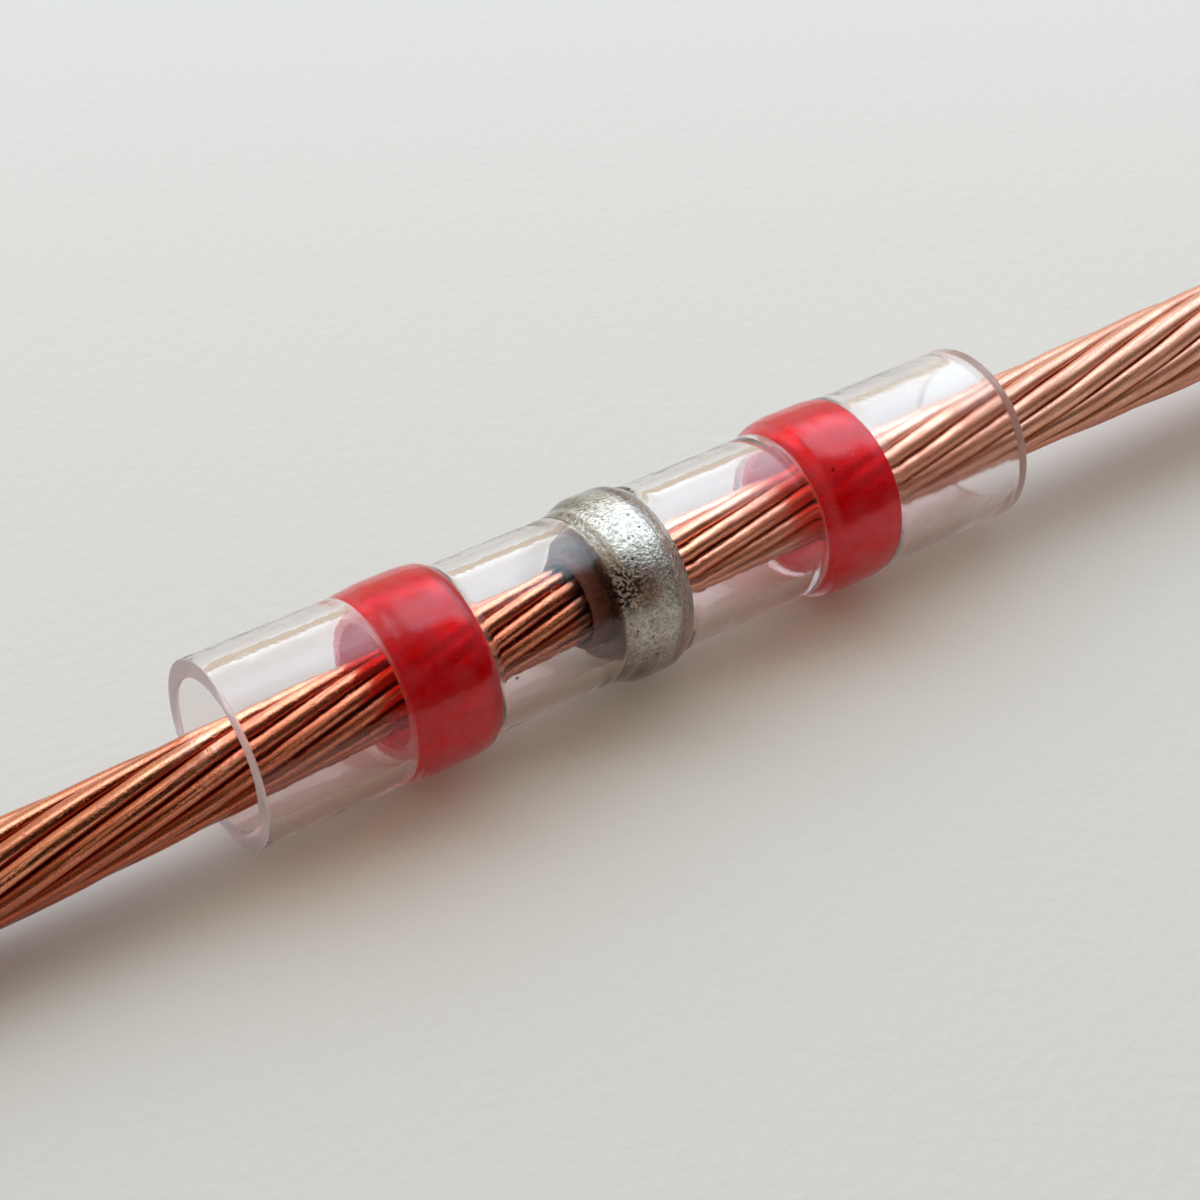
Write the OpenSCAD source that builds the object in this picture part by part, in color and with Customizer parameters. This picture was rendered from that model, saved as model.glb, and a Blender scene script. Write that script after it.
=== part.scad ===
// Solder sleeve connector, short red size: a clear heat-shrink sleeve with a solder ring in its middle
// and a sealing ring near each end, joining two bare stranded copper conductors.
// The sleeve lies along X, with its middle at X = 0 and the surface it lies on at Z = 0.

/* [Sleeve] */
// Length of the heat-shrink sleeve
sleeve_len = 16.1; // [15.5:0.1:18]
// Outer diameter of the sleeve's open ends
end_od = 3.36; // [3.3:0.02:3.6]
// Outer diameter of the sleeve where it has drawn in between its rings
neck_od = 3.12; // [3:0.02:3.24]
// Thickness of the sleeve's wall
wall = 0.33; // [0.25:0.01:0.36]
// Length over which the wall folds down at a ring's edge
fold_len = 0.3; // [0.25:0.05:0.6]

/* [Sealing rings] */
// Width of each sealing ring
seal_w = 1.6; // [1.2:0.05:2]
// Outer diameter of each sealing ring at its middle
seal_od = 2.82; // [2.7:0.02:2.9]
// Thickness of a sealing ring's wall
seal_wall = 0.28; // [0.2:0.01:0.32]
// Height by which a sealing ring's middle stands over its edges
seal_crown = 0.02; // [0.01:0.01:0.05]
// Radius along the outer edges of a sealing ring
seal_edge_r = 0.2; // [0.1:0.01:0.24]
// Distance from the sleeve's left end to the middle of the left sealing ring
left_seal_at = 3.7; // [3.2:0.05:4]
// Distance from the sleeve's right end to the middle of the right sealing ring
right_seal_at = 3.7; // [3.2:0.05:4]

/* [Solder ring] */
// Width of the solder ring
solder_w = 1.45; // [1.2:0.05:2]
// Outer diameter of the solder ring at its middle
solder_od = 2.78; // [2.6:0.02:2.8]
// Height by which the solder ring's middle stands over its edges
solder_crown = 0.12; // [0.01:0.01:0.16]
// Radius along the outer edges of the solder ring
solder_edge_r = 0.16; // [0.08:0.01:0.2]
// Distance from the sleeve's left end to the middle of the solder ring
solder_at = 7.87; // [7.5:0.01:8.3]
// Thickness of the flux that lines the solder ring
flux_t = 0.13; // [0.05:0.01:0.16]
// Distance that the flux has crept out of the solder ring's left mouth
flux_lip = 0.3; // [0:0.05:0.5]
// Distance that the flux stops short of the solder ring's right face
flux_inset = 0.05; // [0.05:0.05:0.3]

/* [Conductors] */
// Diameter of one copper strand
strand_d = 0.28; // [0.26:0.01:0.3]
// Gap between strands that lie side by side
strand_gap = 0.006; // [0.005:0.001:0.01]
// Length of the left conductor that stands out of the sleeve
left_free = 8; // [6:0.5:12]
// Length of the right conductor that stands out of the sleeve
right_free = 8; // [6:0.5:12]
// Length in which the left conductor's strands make one turn
left_lay = 21; // [18:1:30]
// Length in which the right conductor's strands make one turn
right_lay = 24; // [18:1:30]
// How much wider the left conductor is at its free end, where its strands have come loose
left_loose = 0.25; // [0:0.01:0.3]
// How much wider the right conductor is at its free end, where its strands have come loose
right_loose = 0.41; // [0:0.01:0.5]
// Angle at which the left conductor droops outwards
left_droop = 2.4; // [0:0.1:3]
// Angle at which the right conductor droops outwards
right_droop = 0; // [0:0.1:3]
// Clearance round a conductor in the fluxed hole of the solder ring
conductor_clear = 0.03; // [0.02:0.01:0.06]
// Gap between the two conductors' ends in the middle of the solder ring
butt_gap = 0.1; // [0.04:0.02:0.3]

/* [Hidden] */
$fn = 64;

// Concentric lay: one strand in the middle, six round it, twelve round those
inner_count = 6;
outer_count = 2 * inner_count;
inner_lay_r = strand_d + strand_gap;
outer_lay_r = 2 * inner_lay_r;
conductor_r = outer_lay_r + strand_d / 2;

// Sides and steps of a swept strand, finer where it shows
outer_sides = 8;
outer_steps = 21;
inner_sides = 6;
inner_steps = 15;
core_sides = 12;
core_steps = 2;

// Radii of the rings and of the sleeve over them
seal_r = seal_od / 2;
solder_r = solder_od / 2;
solder_bore_r = conductor_r + conductor_clear + flux_t;
end_r = end_od / 2;
neck_r = neck_od / 2;
seal_bulge_r = seal_r + wall;
solder_bulge_r = solder_r + wall;
axis_h = max(end_r, neck_r, seal_bulge_r, solder_bulge_r);

// A rounded edge takes no more than this share of its ring's wall
edge_share = 0.8;
seal_round_r = min(seal_edge_r, edge_share * (seal_wall - seal_crown));
solder_round_r = min(solder_edge_r, edge_share * (solder_r - solder_crown - solder_bore_r));

// Share of a ring's crowned top that is flat
crown_flat = 0.4;

// Slope at which the wall falls from a ring's shoulder to the fold beside it
wall_fall = 0.1;

// Places along X, from the sleeve's middle
left_end_x = -sleeve_len / 2;
right_end_x = sleeve_len / 2;
left_seal_x = left_end_x + left_seal_at;
right_seal_x = right_end_x - right_seal_at;
solder_x = left_end_x + solder_at;
left_face_x = solder_x - solder_w / 2;
right_face_x = solder_x + solder_w / 2;
left_mouth_x = left_face_x - flux_lip;
right_mouth_x = right_face_x;

// How far a conductor has sunk in the ring's hole, a hair short of its full clearance
rest_gap = 0.004;
rest_drop = conductor_clear - rest_gap;

// Points of a smooth fold of the wall, of a quarter round and of a crowned top
fold_steps = 6;
edge_steps = 4;
crown_steps = 4;

// A point of a profile is [distance along the sleeve, radius]

// Smooth step from radius a at x0 to radius b at x1
function fold(x0, x1, a, b) =
    [for (i = [0 : fold_steps]) let (t = i / fold_steps)
        [x0 + (x1 - x0) * t, a + (b - a) * (1 - cos(180 * t)) / 2]];

// Line over a ring's top between its rounded edges, flat in the middle and a crown's height lower at its ends
function crown_line(x, w, round_r, top, crown) =
    let (half = w / 2 - round_r)
    [for (side = [-1, 1], i = [0 : crown_steps])
        let (t = (side < 0 ? crown_steps - i : i) / crown_steps)
        [x + side * half * (crown_flat + (1 - crown_flat) * t), top - crown * t * t]];

// Fold up to a ring's bulge from the radius before it, and down again to the radius after it.
// Each fold laps half of the ring's rounded edge.
function bulge(x, w, round_r, before, top, crown, after) =
    let (half = (w - round_r) / 2, edge = top - crown - wall_fall * round_r / 2)
    concat(
        fold(x - half - fold_len, x - half, before, edge),
        crown_line(x, w, round_r, top, crown),
        fold(x + half, x + half + fold_len, edge, after)
    );

// Outer profile of the sleeve, formed over its three rings
sleeve_outside = concat(
    [[left_end_x, end_r]],
    bulge(left_seal_x, seal_w, seal_round_r, end_r, seal_bulge_r, seal_crown, neck_r),
    bulge(solder_x, solder_w, solder_round_r, neck_r, solder_bulge_r, solder_crown, neck_r),
    bulge(right_seal_x, seal_w, seal_round_r, neck_r, seal_bulge_r, seal_crown, end_r),
    [[right_end_x, end_r]]
);

function reversed(points) = [for (i = [len(points) - 1 : -1 : 0]) points[i]];
function inner_points(points) = [for (i = [1 : len(points) - 2]) points[i]];

// Quarter round about a centre, starting at an angle
function quarter_round(centre, r, start) =
    [for (i = [0 : edge_steps]) let (a = start + 90 * i / edge_steps) centre + r * [cos(a), sin(a)]];

// Turn a profile about the sleeve's axis
module turned(profile) {
    translate([0, 0, axis_h])
        rotate([0, 90, 0])
            rotate_extrude()
                polygon([for (p = profile) [p[1], p[0]]]);
}

// Ring with a plain hole, rounded outer edges and a crowned top
module ring(x, w, outer_r, bore_r, round_r, crown) {
    edge_r = outer_r - crown - round_r;
    turned(concat(
        [[x - w / 2, bore_r], [x + w / 2, bore_r]],
        quarter_round([x + w / 2 - round_r, edge_r], round_r, 0),
        inner_points(reversed(crown_line(x, w, round_r, outer_r, crown))),
        quarter_round([x - w / 2 + round_r, edge_r], round_r, 90)
    ));
}

module heat_shrink_sleeve() {
    color([0.93, 0.90, 0.93, 0.35])
        turned(concat(sleeve_outside, [for (p = reversed(sleeve_outside)) p - [0, wall]]));
}

module left_sealing_ring() {
    color([0.75, 0.06, 0.12, 0.8])
        ring(left_seal_x, seal_w, seal_r, seal_r - seal_wall, seal_round_r, seal_crown);
}

module right_sealing_ring() {
    color([0.75, 0.06, 0.12, 0.8])
        ring(right_seal_x, seal_w, seal_r, seal_r - seal_wall, seal_round_r, seal_crown);
}

module solder_ring() {
    color([0.74, 0.73, 0.66])
        ring(solder_x, solder_w, solder_r, solder_bore_r, solder_round_r, solder_crown);
}

module flux_lining() {
    x0 = left_mouth_x;
    x1 = right_face_x - flux_inset;
    color([0.22, 0.13, 0.09])
        turned([
            [x0, solder_bore_r - flux_t],
            [x1, solder_bore_r - flux_t],
            [x1, solder_bore_r],
            [x0, solder_bore_r]
        ]);
}

// Each conductor has a free end, enters the solder ring's mouth and ends in the middle of the ring.
// What it does outside depends on the distance past that mouth, which is negative inside it.
function mouth_x(side) = side == "left" ? left_mouth_x : right_mouth_x;
function free_stretch(side) =
    side == "left" ? left_mouth_x - left_end_x + left_free : right_end_x + right_free - right_mouth_x;
function sunk_stretch(side) = abs(solder_x - mouth_x(side)) - butt_gap / 2;
function place_x(side, past) = mouth_x(side) + (side == "left" ? -past : past);
function lay_of(side) = side == "left" ? left_lay : right_lay;
function droop_of(side) = side == "left" ? left_droop : right_droop;
function loose_of(side) = side == "left" ? left_loose : right_loose;

// Height of a conductor's centre line, which droops outwards from the ring's mouth
function centre_height(side, past) = axis_h - rest_drop - past * tan(droop_of(side));

// Share by which the strands have opened outwards, from none at the ring's mouth to all at the free end
function opening(side, past) =
    let (all = loose_of(side) / (2 * outer_lay_r))
    all * (1 - cos(180 * max(0, past) / free_stretch(side))) / 2;

// Cross-section of a strand laid left-handed, cut square to X, as points [x, y, z]
function strand_section(side, past, lay_r, phase, sides) =
    let (
        x = place_x(side, past),
        r = lay_r * (1 + opening(side, past)),
        turn = phase - 360 * x / lay_of(side),
        slant = 1 / cos(atan(2 * PI * r / lay_of(side))),
        out = [0, cos(turn), sin(turn)],
        along = [0, -sin(turn), cos(turn)],
        centre = [x, 0, centre_height(side, past)] + r * out
    )
    [for (j = [0 : sides - 1]) let (a = 360 * j / sides)
        centre + strand_d / 2 * (cos(a) * out + slant * sin(a) * along)];

// One strand of a conductor, with both ends cut square: one step in the ring, and even ones outside it
module strand(side, lay_r, phase, sides, steps) {
    free_steps = steps - 1;
    outside = [for (i = [0 : free_steps]) free_stretch(side) * i / free_steps];
    outwards = concat([-sunk_stretch(side)], outside);
    places = side == "left" ? reversed(outwards) : outwards;
    points = [for (past = places) each strand_section(side, past, lay_r, phase, sides)];
    flanks = [for (i = [0 : steps - 1], j = [0 : sides - 1])
        let (a = i * sides + j, b = i * sides + (j + 1) % sides)
        each [[a, b + sides, b], [a, a + sides, b + sides]]];
    ends = [
        [for (j = [0 : sides - 1]) j],
        [for (j = [sides - 1 : -1 : 0]) steps * sides + j]
    ];
    color([0.80, 0.49, 0.36]) polyhedron(points = points, faces = concat(flanks, ends));
}

module core_strand(side) strand(side, 0, 0, core_sides, core_steps);

module inner_strand(side, i) strand(side, inner_lay_r, 360 * i / inner_count, inner_sides, inner_steps);

module outer_strand(side, i) strand(side, outer_lay_r, 360 * i / outer_count, outer_sides, outer_steps);

heat_shrink_sleeve();
left_sealing_ring();
right_sealing_ring();
solder_ring();
flux_lining();
for (side = ["left", "right"]) {
    core_strand(side);
    for (i = [1 : inner_count])
        inner_strand(side, i);
    for (i = [1 : outer_count])
        outer_strand(side, i);
}
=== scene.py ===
import math

import bpy
import numpy as np
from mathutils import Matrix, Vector


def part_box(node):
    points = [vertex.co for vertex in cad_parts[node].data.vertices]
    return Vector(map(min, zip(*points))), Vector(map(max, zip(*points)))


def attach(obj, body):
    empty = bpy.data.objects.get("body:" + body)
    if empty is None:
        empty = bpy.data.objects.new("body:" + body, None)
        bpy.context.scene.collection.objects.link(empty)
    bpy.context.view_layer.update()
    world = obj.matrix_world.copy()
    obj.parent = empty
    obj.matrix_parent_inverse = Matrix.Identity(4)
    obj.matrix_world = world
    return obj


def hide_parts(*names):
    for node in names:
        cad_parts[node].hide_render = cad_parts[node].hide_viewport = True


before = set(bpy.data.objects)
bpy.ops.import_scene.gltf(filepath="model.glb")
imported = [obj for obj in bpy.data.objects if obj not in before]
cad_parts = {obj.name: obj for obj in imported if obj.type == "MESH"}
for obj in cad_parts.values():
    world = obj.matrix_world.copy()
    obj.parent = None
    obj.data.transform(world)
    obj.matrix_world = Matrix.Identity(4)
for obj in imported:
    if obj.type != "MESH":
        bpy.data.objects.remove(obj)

bl_info = {
    "name": "Solder sleeve connector",
    "version": (1, 0, 0),
    "blender": (4, 5, 0),
    "location": "3D View > Sidebar > Sleeve",
    "description": "Clear sleeve, sealing rings, solder and copper strands of a solder sleeve connector",
    "category": "Object",
}

MM = 0.001
ONE_TURN = 2 * math.pi
# Range of the random phases with which strands wander
RANDOM_TURN = 6.28

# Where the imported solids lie, in metres
SLEEVE_LOW, SLEEVE_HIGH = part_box("heat_shrink_sleeve")
LEFT_SEAL_LOW, LEFT_SEAL_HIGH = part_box("left_sealing_ring")
RIGHT_SEAL_LOW, RIGHT_SEAL_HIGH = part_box("right_sealing_ring")
SOLDER_LOW, SOLDER_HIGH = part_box("solder_ring")
FLUX_LOW, FLUX_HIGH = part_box("flux_lining")
CORE_BOXES = {side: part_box(f"{side}_core_strand") for side in ("left", "right")}
LEFT_MOUTH, RIGHT_MOUTH = FLUX_LOW[0], SOLDER_HIGH[0]
AXIS_HEIGHT = (SLEEVE_LOW[2] + SLEEVE_HIGH[2]) / 2
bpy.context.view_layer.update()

INNER_COUNT = 6
OUTER_COUNT = 2 * INNER_COUNT

# Sides round each turned or swept mesh, steps along a strand, and where the strands' random seeds start
SLEEVE_SIDES, SEAL_SIDES, SOLDER_SIDES, FLUX_SIDES = 224, 192, 256, 128
CORE_SIDES, INNER_SIDES, OUTER_SIDES = 16, 12, 20
CORE_STEPS, LAID_STEPS = 60, 260
FIRST_SEED = 7


def length_property(name, description, millimetres, precision=5):
    """A length that a user can change, with its default in millimetres."""
    return bpy.props.FloatProperty(
        name=name, description=description, default=millimetres * MM, unit="LENGTH", precision=precision)


def colour_property(name, description, default):
    """A colour that a user can change."""
    return bpy.props.FloatVectorProperty(
        name=name, description=description, default=default, subtype="COLOR", size=4, min=0, max=1)


class SleeveSettings(bpy.types.PropertyGroup):
    end_diameter: length_property("End diameter", "Outer diameter of the sleeve's open ends", 3.36)
    neck_diameter: length_property(
        "Neck diameter", "Outer diameter where the sleeve has drawn in between its rings", 3.12)
    wall: length_property("Wall", "Thickness of the sleeve's wall", 0.33)
    fold_length: length_property("Fold length", "Length over which the wall folds down beside a ring", 0.36)
    wall_fall: bpy.props.FloatProperty(
        name="Wall fall",
        description="Slope at which the wall falls from a ring's shoulder to the fold beside it",
        default=0.1)
    rim_round: length_property("Rim rounding", "Radius along the edges of the cut ends", 0.03)
    cut_wave: length_property("Cut wave", "How far the cut ends wander from a flat cut", 0.015)
    ripple: length_property(
        "Ripple", "Depth of the slow waves left in the wall by shrinking", 0.004, precision=6)
    tint: colour_property("Tint", "Colour of the clear plastic", (0.962, 0.92, 0.918, 1))
    stain_tint: colour_property(
        "Stain", "Tint of the tubing where flux has clouded it, beside the solder ring", (0.76, 0.70, 0.68, 1))
    # Painted shade: darkens and reddens the underside of the tubing, standing in for the shadow under the tube
    # and the red and copper light that falls there.
    underside_painted_shade: colour_property(
        "Underside, painted shade", "Tint of the underside, which takes up red and copper light", (0.84, 0.64, 0.62, 1))
    shade_tint: colour_property(
        "Shade tint", "Tint of the lamp light that passes through the tubing", (0.925, 0.885, 0.855, 1))
    mark: colour_property("Marks", "Colour of the small dark marks on the tubing", (0.12, 0.06, 0.06, 1))
    cut_tint: colour_property("Cut tint", "Colour of the frosted faces left by the cuts", (0.90, 0.76, 0.83, 1))
    cut_pale: colour_property("Cut, pale", "Paler patches on the cut faces", (0.93, 0.84, 0.89, 1))
    cut_shade: colour_property(
        "Cut, shade", "Tint of the lamp light that passes through a cut face", (0.95, 0.90, 0.92, 1))
    # Darker brown on the right cut face, towards its upper front.
    cut_brown: colour_property(
        "Cut, brown", "Colour of the right cut where it is browned", (0.46, 0.29, 0.27, 1))


class RingSettings(bpy.types.PropertyGroup):
    seal_wall: length_property("Seal wall", "Thickness of a sealing ring's wall", 0.28)
    seal_crown: length_property(
        "Seal crown", "Height by which a sealing ring's middle stands over its edges", 0.02)
    seal_edge: length_property("Seal edge radius", "Radius along the outer edges of a sealing ring", 0.2)
    wetted_edge: length_property(
        "Wetted edge radius", "Radius left along a sealing ring's edges where it has wetted the wall", 0.05)
    solder_edge: length_property("Solder edge radius", "Radius along the outer edges of the solder ring", 0.16)
    solder_crown: length_property(
        "Solder crown", "Height by which the solder ring's middle stands over its edges", 0.12)
    crown_flat: bpy.props.FloatProperty(
        name="Crown flat", description="Share of a ring's crowned top that is flat",
        default=0.4, min=0, max=0.9)
    flux_film: length_property("Flux film", "Thickness of the flux that lines the solder ring", 0.13)
    bedding: length_property(
        "Bedding", "How deep a ring has bedded into the softened wall round it", 0.01, precision=6)
    seal_deep: colour_property(
        "Seal, deep red", "Colour of the sealing rings where they are dense", (0.88, 0.0, 0.003, 1))
    seal_milky: colour_property(
        "Seal, milky red", "Colour of the sealing rings where they are cloudy", (0.82, 0.055, 0.09, 1))
    seal_bubble: colour_property(
        "Seal, bubbles", "Colour of the tiny bubbles in the sealing rings", (0.90, 0.22, 0.27, 1))
    seal_shade: colour_property(
        "Seal, shade", "Tint of the lamp light that passes through a sealing ring", (0.80, 0.27, 0.27, 1))
    solder: colour_property("Solder", "Colour of the clean solder", (0.68, 0.67, 0.60, 1))
    solder_dull: colour_property("Solder, dull", "Colour of the oxidised solder", (0.34, 0.32, 0.27, 1))
    # Painted reflection: a warm patch that stands in for a reflection in the solder.
    solder_reflection: colour_property(
        "Solder, painted reflection", "Colour of the tarnished spot on the solder", (0.42, 0.26, 0.20, 1))
    solder_face: colour_property(
        "Solder, left face", "Colour of the solder's left face under its flux", (0.14, 0.075, 0.055, 1))
    solder_pit: colour_property(
        "Solder, pits", "Colour of the pits and dark crumbs in the solder", (0.02, 0.018, 0.014, 1))
    flux: colour_property("Flux", "Colour of the flux film", (0.12, 0.045, 0.035, 1))
    flux_pale: colour_property("Flux, pale", "Paler patches in the flux film", (0.20, 0.085, 0.065, 1))


class ConductorSettings(bpy.types.PropertyGroup):
    strand_diameter: length_property("Strand diameter", "Diameter of one copper strand", 0.28)
    strand_gap: length_property("Strand gap", "Gap between strands that lie side by side", 0.006, precision=6)
    left_lay: length_property(
        "Left lay", "Length in which the left conductor's strands make one turn", 21, precision=4)
    right_lay: length_property(
        "Right lay", "Length in which the right conductor's strands make one turn", 24, precision=4)
    left_droop: bpy.props.FloatProperty(
        name="Left droop", description="Angle at which the left conductor droops away from the solder ring",
        default=math.radians(2.4), subtype="ANGLE")
    right_droop: bpy.props.FloatProperty(
        name="Right droop", description="Angle at which the right conductor droops away from the solder ring",
        default=0.0, subtype="ANGLE")
    left_loose: length_property("Left loosening", "How much wider the left conductor is at its free end", 0.25)
    right_loose: length_property(
        "Right loosening", "How much wider the right conductor is at its free end", 0.41)
    flux_creep: length_property(
        "Flux creep", "How far flux has crept along the strands out of the left mouth", 0.25)
    rest_drop: length_property(
        "Rest drop", "How far the conductors lie under the axis in the solder ring", 0.026, precision=6)
    wander: length_property("Wander", "How far a strand strays sideways from its even lay", 0.008, precision=6)
    bright: colour_property("Bright copper", "Colour of the clean copper", (0.95, 0.36, 0.18, 1))
    # Oxide and painted shade: darkens the copper down between the strands and towards its underside; random
    # tarnish uses it too.
    tarnished: colour_property(
        "Tarnished and shaded copper", "Colour of the copper down between the strands", (0.45, 0.075, 0.016, 1))
    # Painted sheen: the clean copper turns paler towards the right, standing in for the broader highlight on
    # the right conductor.
    pale: colour_property(
        "Pale copper, painted sheen", "Colour towards which the right conductor's clean copper goes", (1.0, 0.56, 0.39, 1))
    # Nicks and crushed spots are real wear; their pale colour is partly a painted glint on the flattened
    # facets.
    nicked: colour_property(
        "Nicked copper", "Colour of fresh nicks and of the handled patch", (1.0, 0.78, 0.62, 1))
    fluxed: colour_property(
        "Fluxed copper", "Colour of the copper where flux has crept along it", (0.27, 0.095, 0.06, 1))


class StudioSettings(bpy.types.PropertyGroup):
    floor: colour_property("Floor", "Colour of the paper that the object lies on", (0.775, 0.775, 0.77, 1))
    floor_half: bpy.props.FloatProperty(
        name="Floor half width", description="Distance from the object to the paper's edges",
        default=0.6, unit="LENGTH")
    camera_azimuth: bpy.props.FloatProperty(
        name="Camera azimuth", description="Direction of the camera, 0 in front and negative to the left",
        default=math.radians(-35.03), subtype="ANGLE")
    camera_elevation: bpy.props.FloatProperty(
        name="Camera elevation", description="Angle of the camera above the floor",
        default=math.radians(38.17), subtype="ANGLE")
    camera_distance: length_property(
        "Camera distance", "Distance from the camera to the point that it looks at", 43.913)
    look_at: bpy.props.FloatVectorProperty(
        name="Look at", description="Point in the middle of the picture",
        subtype="TRANSLATION", size=3, default=(-0.4843 * MM, 0, 1.5301 * MM))
    lens: bpy.props.FloatProperty(
        name="Lens", description="Focal length on a 36 mm square picture, in millimetres",
        default=75)
    window_width: bpy.props.FloatProperty(
        name="Window width", description="Width of the soft window light",
        default=0.36, unit="LENGTH")
    window_height: bpy.props.FloatProperty(
        name="Window height", description="Height of the soft window light",
        default=0.16, unit="LENGTH")
    window_distance: bpy.props.FloatProperty(
        name="Window distance", description="Distance from the object to the window light",
        default=0.16, unit="LENGTH")
    window_power: bpy.props.FloatProperty(
        name="Window power", description="Power of the window light in watts",
        default=0.384)
    window_direction: bpy.props.FloatVectorProperty(
        name="Window direction", description="Direction from the object to the window light",
        subtype="DIRECTION", size=3, default=(0.35, 0.66, 0.665))
    window_colour: bpy.props.FloatVectorProperty(
        name="Window colour", description="Colour of the window light",
        subtype="COLOR", size=3, min=0, max=1, default=(0.747, 0.896, 1.0))
    reflected_window: bpy.props.FloatVectorProperty(
        name="Reflected window", description="Brightness of the soft window that reflections show",
        subtype="COLOR", size=4, min=0, default=(2.8, 3.45, 4.05, 1))
    reflected_direction: bpy.props.FloatVectorProperty(
        name="Reflected direction", description="Level direction of the soft window that reflections show",
        subtype="DIRECTION", size=3, default=(0.94, 0.342, 0.0))
    walls: colour_property("Walls", "Colour of the room's lit walls", (0.66, 0.56, 0.44, 1))
    dark_walls: colour_property("Dark walls", "Colour of the room on its dark side", (0.03, 0.02, 0.015, 1))
    dark_direction: bpy.props.FloatVectorProperty(
        name="Dark direction", description="Direction of the room's dark side",
        subtype="DIRECTION", size=3, default=(0.46, -0.76, 0.46))


class ConnectorSettings(bpy.types.PropertyGroup):
    sleeve: bpy.props.PointerProperty(type=SleeveSettings)
    rings: bpy.props.PointerProperty(type=RingSettings)
    conductors: bpy.props.PointerProperty(type=ConductorSettings)
    studio: bpy.props.PointerProperty(type=StudioSettings)


def settings():
    return bpy.context.scene.solder_sleeve


# Shader building blocks

def add_node(tree, kind, inputs=None, **fields):
    """Add a node, set its fields, and set or link its inputs by name or number."""
    made = tree.nodes.new(kind)
    for field, value in fields.items():
        setattr(made, field, value)
    for name, value in (inputs or {}).items():
        if isinstance(value, bpy.types.NodeSocket):
            tree.links.new(value, made.inputs[name])
        else:
            made.inputs[name].default_value = value
    return made


def arithmetic(tree, operation, first, second=0.0):
    return add_node(tree, "ShaderNodeMath", {0: first, 1: second}, operation=operation).outputs[0]


def product(tree, first, second):
    return arithmetic(tree, "MULTIPLY", first, second)


def larger(tree, first, second):
    return arithmetic(tree, "MAXIMUM", first, second)


def axis_of(tree, vector, axis):
    """One axis, "X", "Y" or "Z", of a vector."""
    return add_node(tree, "ShaderNodeSeparateXYZ", {0: vector}).outputs[axis]


def along_direction(tree, vector, direction):
    """How far a vector reaches along a direction."""
    reach = add_node(tree, "ShaderNodeVectorMath", {0: vector, 1: tuple(direction)}, operation="DOT_PRODUCT")
    return reach.outputs["Value"]


def mapped(tree, value, low, high, to_low=0.0, to_high=1.0):
    """Spread a value between two limits over another range, clamped at both ends."""
    return add_node(
        tree, "ShaderNodeMapRange",
        {"Value": value, "From Min": low, "From Max": high, "To Min": to_low, "To Max": to_high},
        clamp=True).outputs["Result"]


def colour_mix(tree, share, first, second):
    """Blend two colours by a share from 0 to 1."""
    inputs = {0: share, 6: first, 7: second}
    return add_node(tree, "ShaderNodeMix", inputs, data_type="RGBA").outputs[2]


def effect_group(name, inputs, outputs):
    """A shader node group with named inputs {name: (type, default)} and outputs {name: type}."""
    group = bpy.data.node_groups.new(name, "ShaderNodeTree")
    for label, (kind, default) in inputs.items():
        socket = group.interface.new_socket(label, in_out="INPUT", socket_type=kind)
        if default is not None:
            socket.default_value = default
    for label, kind in outputs.items():
        group.interface.new_socket(label, in_out="OUTPUT", socket_type=kind)
    return group, group.nodes.new("NodeGroupInput").outputs, group.nodes.new("NodeGroupOutput").inputs


def place_group():
    """Object coordinates in millimetres."""
    group, _, out = effect_group("Place in millimetres", {}, {"Place": "NodeSocketVector"})
    place = add_node(group, "ShaderNodeTexCoord").outputs["Object"]
    scaled = add_node(group, "ShaderNodeVectorMath", {0: place, "Scale": 1 / MM}, operation="SCALE")
    group.links.new(scaled.outputs[0], out["Place"])
    return group


def cloud_group():
    """Soft patches of a given size in millimetres."""
    group, given, out = effect_group(
        "Clouding",
        {
            "Place": ("NodeSocketVector", None),
            "Size": ("NodeSocketFloat", 1.0),
            "Spread": ("NodeSocketFloat", 0.15),
        },
        {"Mask": "NodeSocketFloat"})
    noise = add_node(group, "ShaderNodeTexNoise", {
        "Vector": given["Place"],
        "Scale": arithmetic(group, "DIVIDE", 1.0, given["Size"]),
        "Detail": 2.0,
        "Roughness": 0.55})
    low = arithmetic(group, "SUBTRACT", 0.5, given["Spread"])
    high = arithmetic(group, "ADD", 0.5, given["Spread"])
    group.links.new(mapped(group, noise.outputs[0], low, high), out["Mask"])
    return group


def speck_group():
    """Scattered round specks: spacing and radius in millimetres, and the share of places that have one."""
    group, given, out = effect_group(
        "Specks",
        {
            "Place": ("NodeSocketVector", None),
            "Spacing": ("NodeSocketFloat", 0.3),
            "Radius": ("NodeSocketFloat", 0.02),
            "Share": ("NodeSocketFloat", 0.3),
        },
        {"Mask": "NodeSocketFloat"})
    cells = add_node(group, "ShaderNodeTexVoronoi", {
        "Vector": given["Place"],
        "Scale": arithmetic(group, "DIVIDE", 1.0, given["Spacing"])})
    distance = product(group, cells.outputs["Distance"], given["Spacing"])
    chance = add_node(group, "ShaderNodeSeparateColor", {"Color": cells.outputs["Color"]})
    radius = product(group, given["Radius"], arithmetic(group, "ADD", chance.outputs["Green"], 0.4))
    inside = mapped(group, arithmetic(group, "DIVIDE", distance, radius), 0.7, 1.1, 1.0, 0.0)
    chosen = arithmetic(group, "LESS_THAN", chance.outputs["Red"], given["Share"])
    group.links.new(product(group, inside, chosen), out["Mask"])
    return group


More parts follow.
